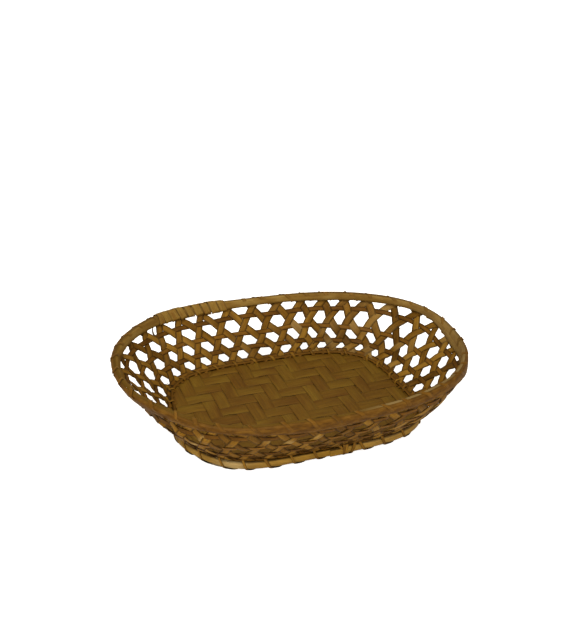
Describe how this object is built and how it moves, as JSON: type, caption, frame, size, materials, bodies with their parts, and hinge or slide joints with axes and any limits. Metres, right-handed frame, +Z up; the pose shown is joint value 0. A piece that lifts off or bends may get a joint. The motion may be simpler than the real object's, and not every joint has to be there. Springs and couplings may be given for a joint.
{
  "type": "oval bamboo basket",
  "caption": "Oval bread basket of split bamboo: twilled floor, flared open wall of six-sided holes, hooped and cane-lashed rim and foot.",
  "frame": {"origin": "centre of the basket's outline, on the surface it stands on", "axes": "+Z up, +X along the oval's length, +Y across it"},
  "size_m": [0.2816, 0.2088, 0.054],
  "materials": {
    "bamboo_splint": "satin",
    "bamboo_weaver": "satin",
    "bamboo_hoop": "satin",
    "bamboo_floor": "satin",
    "cane": "satin"
  },
  "bodies": {
    "root": {"base_hoop": "bamboo_hoop", "base_lash": "cane", "floor_cross_strip_01": "bamboo_floor", "floor_cross_strip_02": "bamboo_floor", "floor_cross_strip_03": "bamboo_floor", "floor_cross_strip_04": "bamboo_floor", "floor_cross_strip_05": "bamboo_floor", "floor_cross_strip_06": "bamboo_floor", "floor_cross_strip_07": "bamboo_floor", "floor_cross_strip_08": "bamboo_floor", "floor_cross_strip_09": "bamboo_floor", "floor_cross_strip_10": "bamboo_floor", "floor_cross_strip_11": "bamboo_floor", "floor_cross_strip_12": "bamboo_floor", "floor_cross_strip_13": "bamboo_floor", "floor_cross_strip_14": "bamboo_floor", "floor_cross_strip_15": "bamboo_floor", "floor_cross_strip_16": "bamboo_floor", "floor_cross_strip_17": "bamboo_floor", "floor_long_strip_01": "bamboo_floor", "floor_long_strip_02": "bamboo_floor", "floor_long_strip_03": "bamboo_floor", "floor_long_strip_04": "bamboo_floor", "floor_long_strip_05": "bamboo_floor", "floor_long_strip_06": "bamboo_floor", "floor_long_strip_07": "bamboo_floor", "floor_long_strip_08": "bamboo_floor", "floor_long_strip_09": "bamboo_floor", "floor_long_strip_10": "bamboo_floor", "floor_long_strip_11": "bamboo_floor", "foot_hoop_with_inner_splints": "bamboo_splint", "foot_ring_with_outer_splints": "bamboo_splint", "rim_binding": "cane", "rim_inner_hoop": "bamboo_hoop", "rim_lash": "cane", "rim_outer_hoop": "bamboo_hoop", "wall_weaver_1": "bamboo_weaver", "wall_weaver_2": "bamboo_weaver", "wall_weaver_3": "bamboo_weaver", "wall_weaver_4": "bamboo_weaver"}
  },
  "joints": []
}
